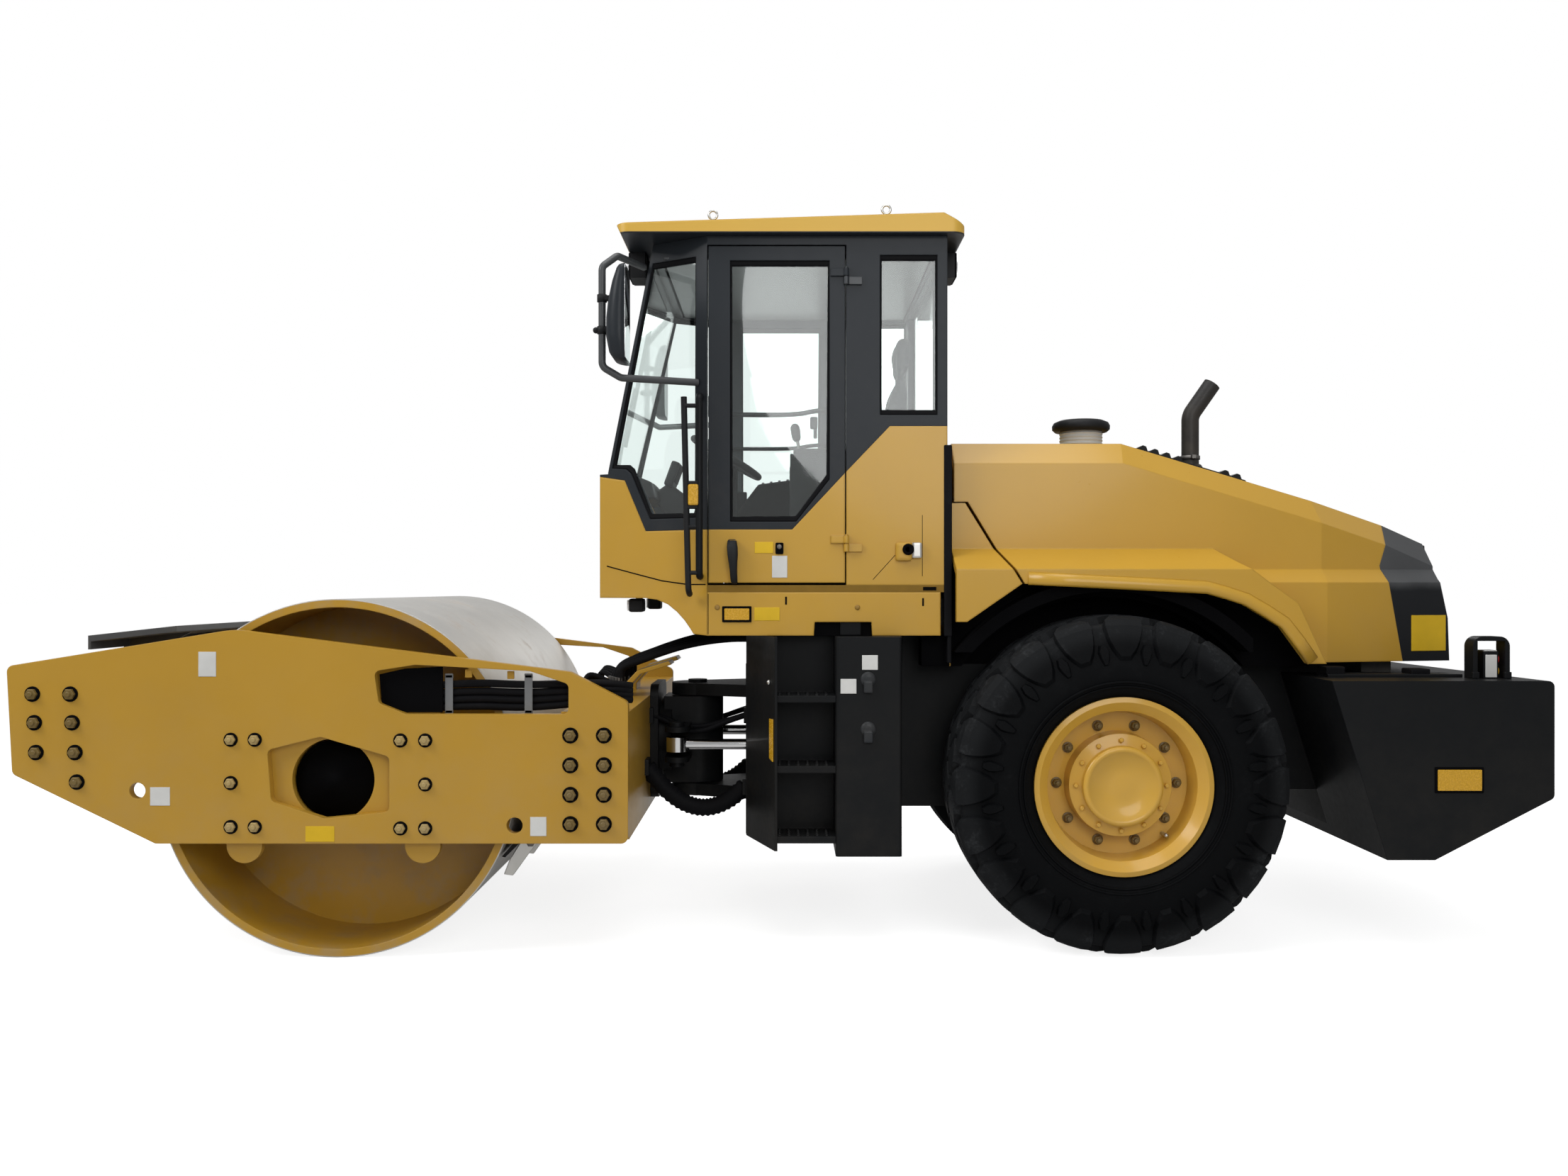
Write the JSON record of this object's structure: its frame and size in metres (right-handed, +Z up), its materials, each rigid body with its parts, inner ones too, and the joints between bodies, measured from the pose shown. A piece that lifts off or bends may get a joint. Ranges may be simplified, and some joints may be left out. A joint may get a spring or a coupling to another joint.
{
  "type": "road roller",
  "caption": "Self-propelled soil roller: smooth steel drum in a plate frame, articulated to a tractor with a closed cab, sloping engine hood, rear counterweight and treaded drive tyres.",
  "frame": {"origin": "on the ground under the middle of the machine's bounding box", "axes": "+X forward (drum end), +Y to the machine's left, +Z up"},
  "size_m": [6.5786, 2.3, 3.262],
  "materials": {
    "yellow_paint": "satin",
    "dark_paint": "satin",
    "hood_paint": "gloss",
    "roof_paint": "gloss",
    "hood_black": "satin",
    "drum_steel": "bare rolled steel with painted ends",
    "engine_iron": "matt",
    "black_plastic": "satin",
    "cab_glass": "clear",
    "seat_fabric": "woven",
    "mirror_shell": "satin",
    "steel": "satin",
    "rod_chrome": "polished",
    "tyre": "matt",
    "rim_paint": "satin"
  },
  "bodies": {
    "tractor": {"rear_frame": "dark_paint", "rear_axle": "dark_paint", "steps": "dark_paint", "side_tanks": "dark_paint", "counterweight": "dark_paint", "engine_block": "engine_iron", "radiator": "engine_iron", "fender_panels": "yellow_paint", "arch_liners": "black_plastic", "cab_floor": "dark_paint", "cab_sills": "yellow_paint", "cab_front_panel": "yellow_paint", "cab_rear_panels": "yellow_paint", "cab_frame": "dark_paint", "cab_roof": "roof_paint", "windscreen": "cab_glass", "rear_window": "cab_glass", "side_windows": "cab_glass", "seat_base": "dark_paint", "seat_cushion": "seat_fabric", "seat_back": "seat_fabric", "steering_console": "black_plastic", "steering_wheel": "black_plastic", "mirror_arms": "dark_paint", "mirrors": "mirror_shell", "handrails": "dark_paint", "door_hinges": "dark_paint", "work_lamps": "black_plastic", "tail_lamps": "dark_paint"},
    "front_frame": {"side_plates": "yellow_paint", "front_beam": "yellow_paint", "front_cover": "dark_paint", "rear_beam": "yellow_paint", "rear_scraper": "dark_paint", "drum_carriers": "dark_paint", "centre_yoke": "dark_paint"},
    "drum": {"drum": "drum_steel"},
    "hood": {"hood_shell": "hood_paint", "hood_tail": "hood_black", "hood_cowl": "hood_black", "exhaust_pipe": "steel", "intake_cap": "hood_black"},
    "wheel_left": {"tyre_left": "tyre", "wheel_left": "rim_paint"},
    "door_left": {"door_left_frame": "dark_paint", "door_left_panel": "yellow_paint", "door_left_glass": "cab_glass"},
    "steer_barrel_left": {"steer_barrel_left": "dark_paint"},
    "steer_rod_left": {"steer_rod_left": "rod_chrome"},
    "wheel_right": {"tyre_right": "tyre", "wheel_right": "rim_paint"},
    "door_right": {"door_right_frame": "dark_paint", "door_right_panel": "yellow_paint", "door_right_glass": "cab_glass"},
    "steer_barrel_right": {"steer_barrel_right": "dark_paint"},
    "steer_rod_right": {"steer_rod_right": "rod_chrome"}
  },
  "joints": [
    {"name": "steer", "type": "hinge", "parent": "tractor", "child": "front_frame", "pos_m": [0.44, 0, 0.83], "axis": [0, 0, 1], "range_deg": [-35, 35]},
    {"name": "drum_roll", "type": "hinge", "parent": "front_frame", "child": "drum", "pos_m": [1.92, 0, 0.77], "axis": [0, 1, 0], "continuous": true},
    {"name": "hood_open", "type": "hinge", "parent": "tractor", "child": "hood", "pos_m": [-0.755, 0, 2.235], "axis": [0, 1, 0], "range_deg": [0, 50]},
    {"name": "wheel_left_roll", "type": "hinge", "parent": "tractor", "child": "wheel_left", "pos_m": [-1.455, 0.86, 0.735], "axis": [0, 1, 0], "continuous": true},
    {"name": "door_left_open", "type": "hinge", "parent": "tractor", "child": "door_left", "pos_m": [-0.28, 0.813, 2.3], "axis": [0, 0, 1], "range_deg": [0, 150]},
    {"name": "steer_barrel_left_swing", "type": "hinge", "parent": "tractor", "child": "steer_barrel_left", "pos_m": [-0.33, 0.33, 0.83], "axis": [0, 0, 1], "range_deg": [-2.5, 2.5]},
    {"name": "steer_rod_left_slide", "type": "slide", "parent": "steer_barrel_left", "child": "steer_rod_left", "axis": [1, 0, 0], "range_m": [-0.195, 0.195]},
    {"name": "wheel_right_roll", "type": "hinge", "parent": "tractor", "child": "wheel_right", "pos_m": [-1.455, -0.86, 0.735], "axis": [0, 1, 0], "continuous": true},
    {"name": "door_right_open", "type": "hinge", "parent": "tractor", "child": "door_right", "pos_m": [-0.28, -0.813, 2.3], "axis": [0, 0, -1], "range_deg": [0, 150]},
    {"name": "steer_barrel_right_swing", "type": "hinge", "parent": "tractor", "child": "steer_barrel_right", "pos_m": [-0.33, -0.33, 0.83], "axis": [0, 0, 1], "range_deg": [-2.5, 2.5]},
    {"name": "steer_rod_right_slide", "type": "slide", "parent": "steer_barrel_right", "child": "steer_rod_right", "axis": [1, 0, 0], "range_m": [-0.195, 0.195]}
  ],
  "couplings": [
    {"joint": "steer_barrel_left_swing", "follows": "steer", "ratio": 0.067},
    {"joint": "steer_rod_left_slide", "follows": "steer", "m_per_rad": -0.314},
    {"joint": "steer_barrel_right_swing", "follows": "steer", "ratio": 0.067},
    {"joint": "steer_rod_right_slide", "follows": "steer", "m_per_rad": 0.314}
  ]
}
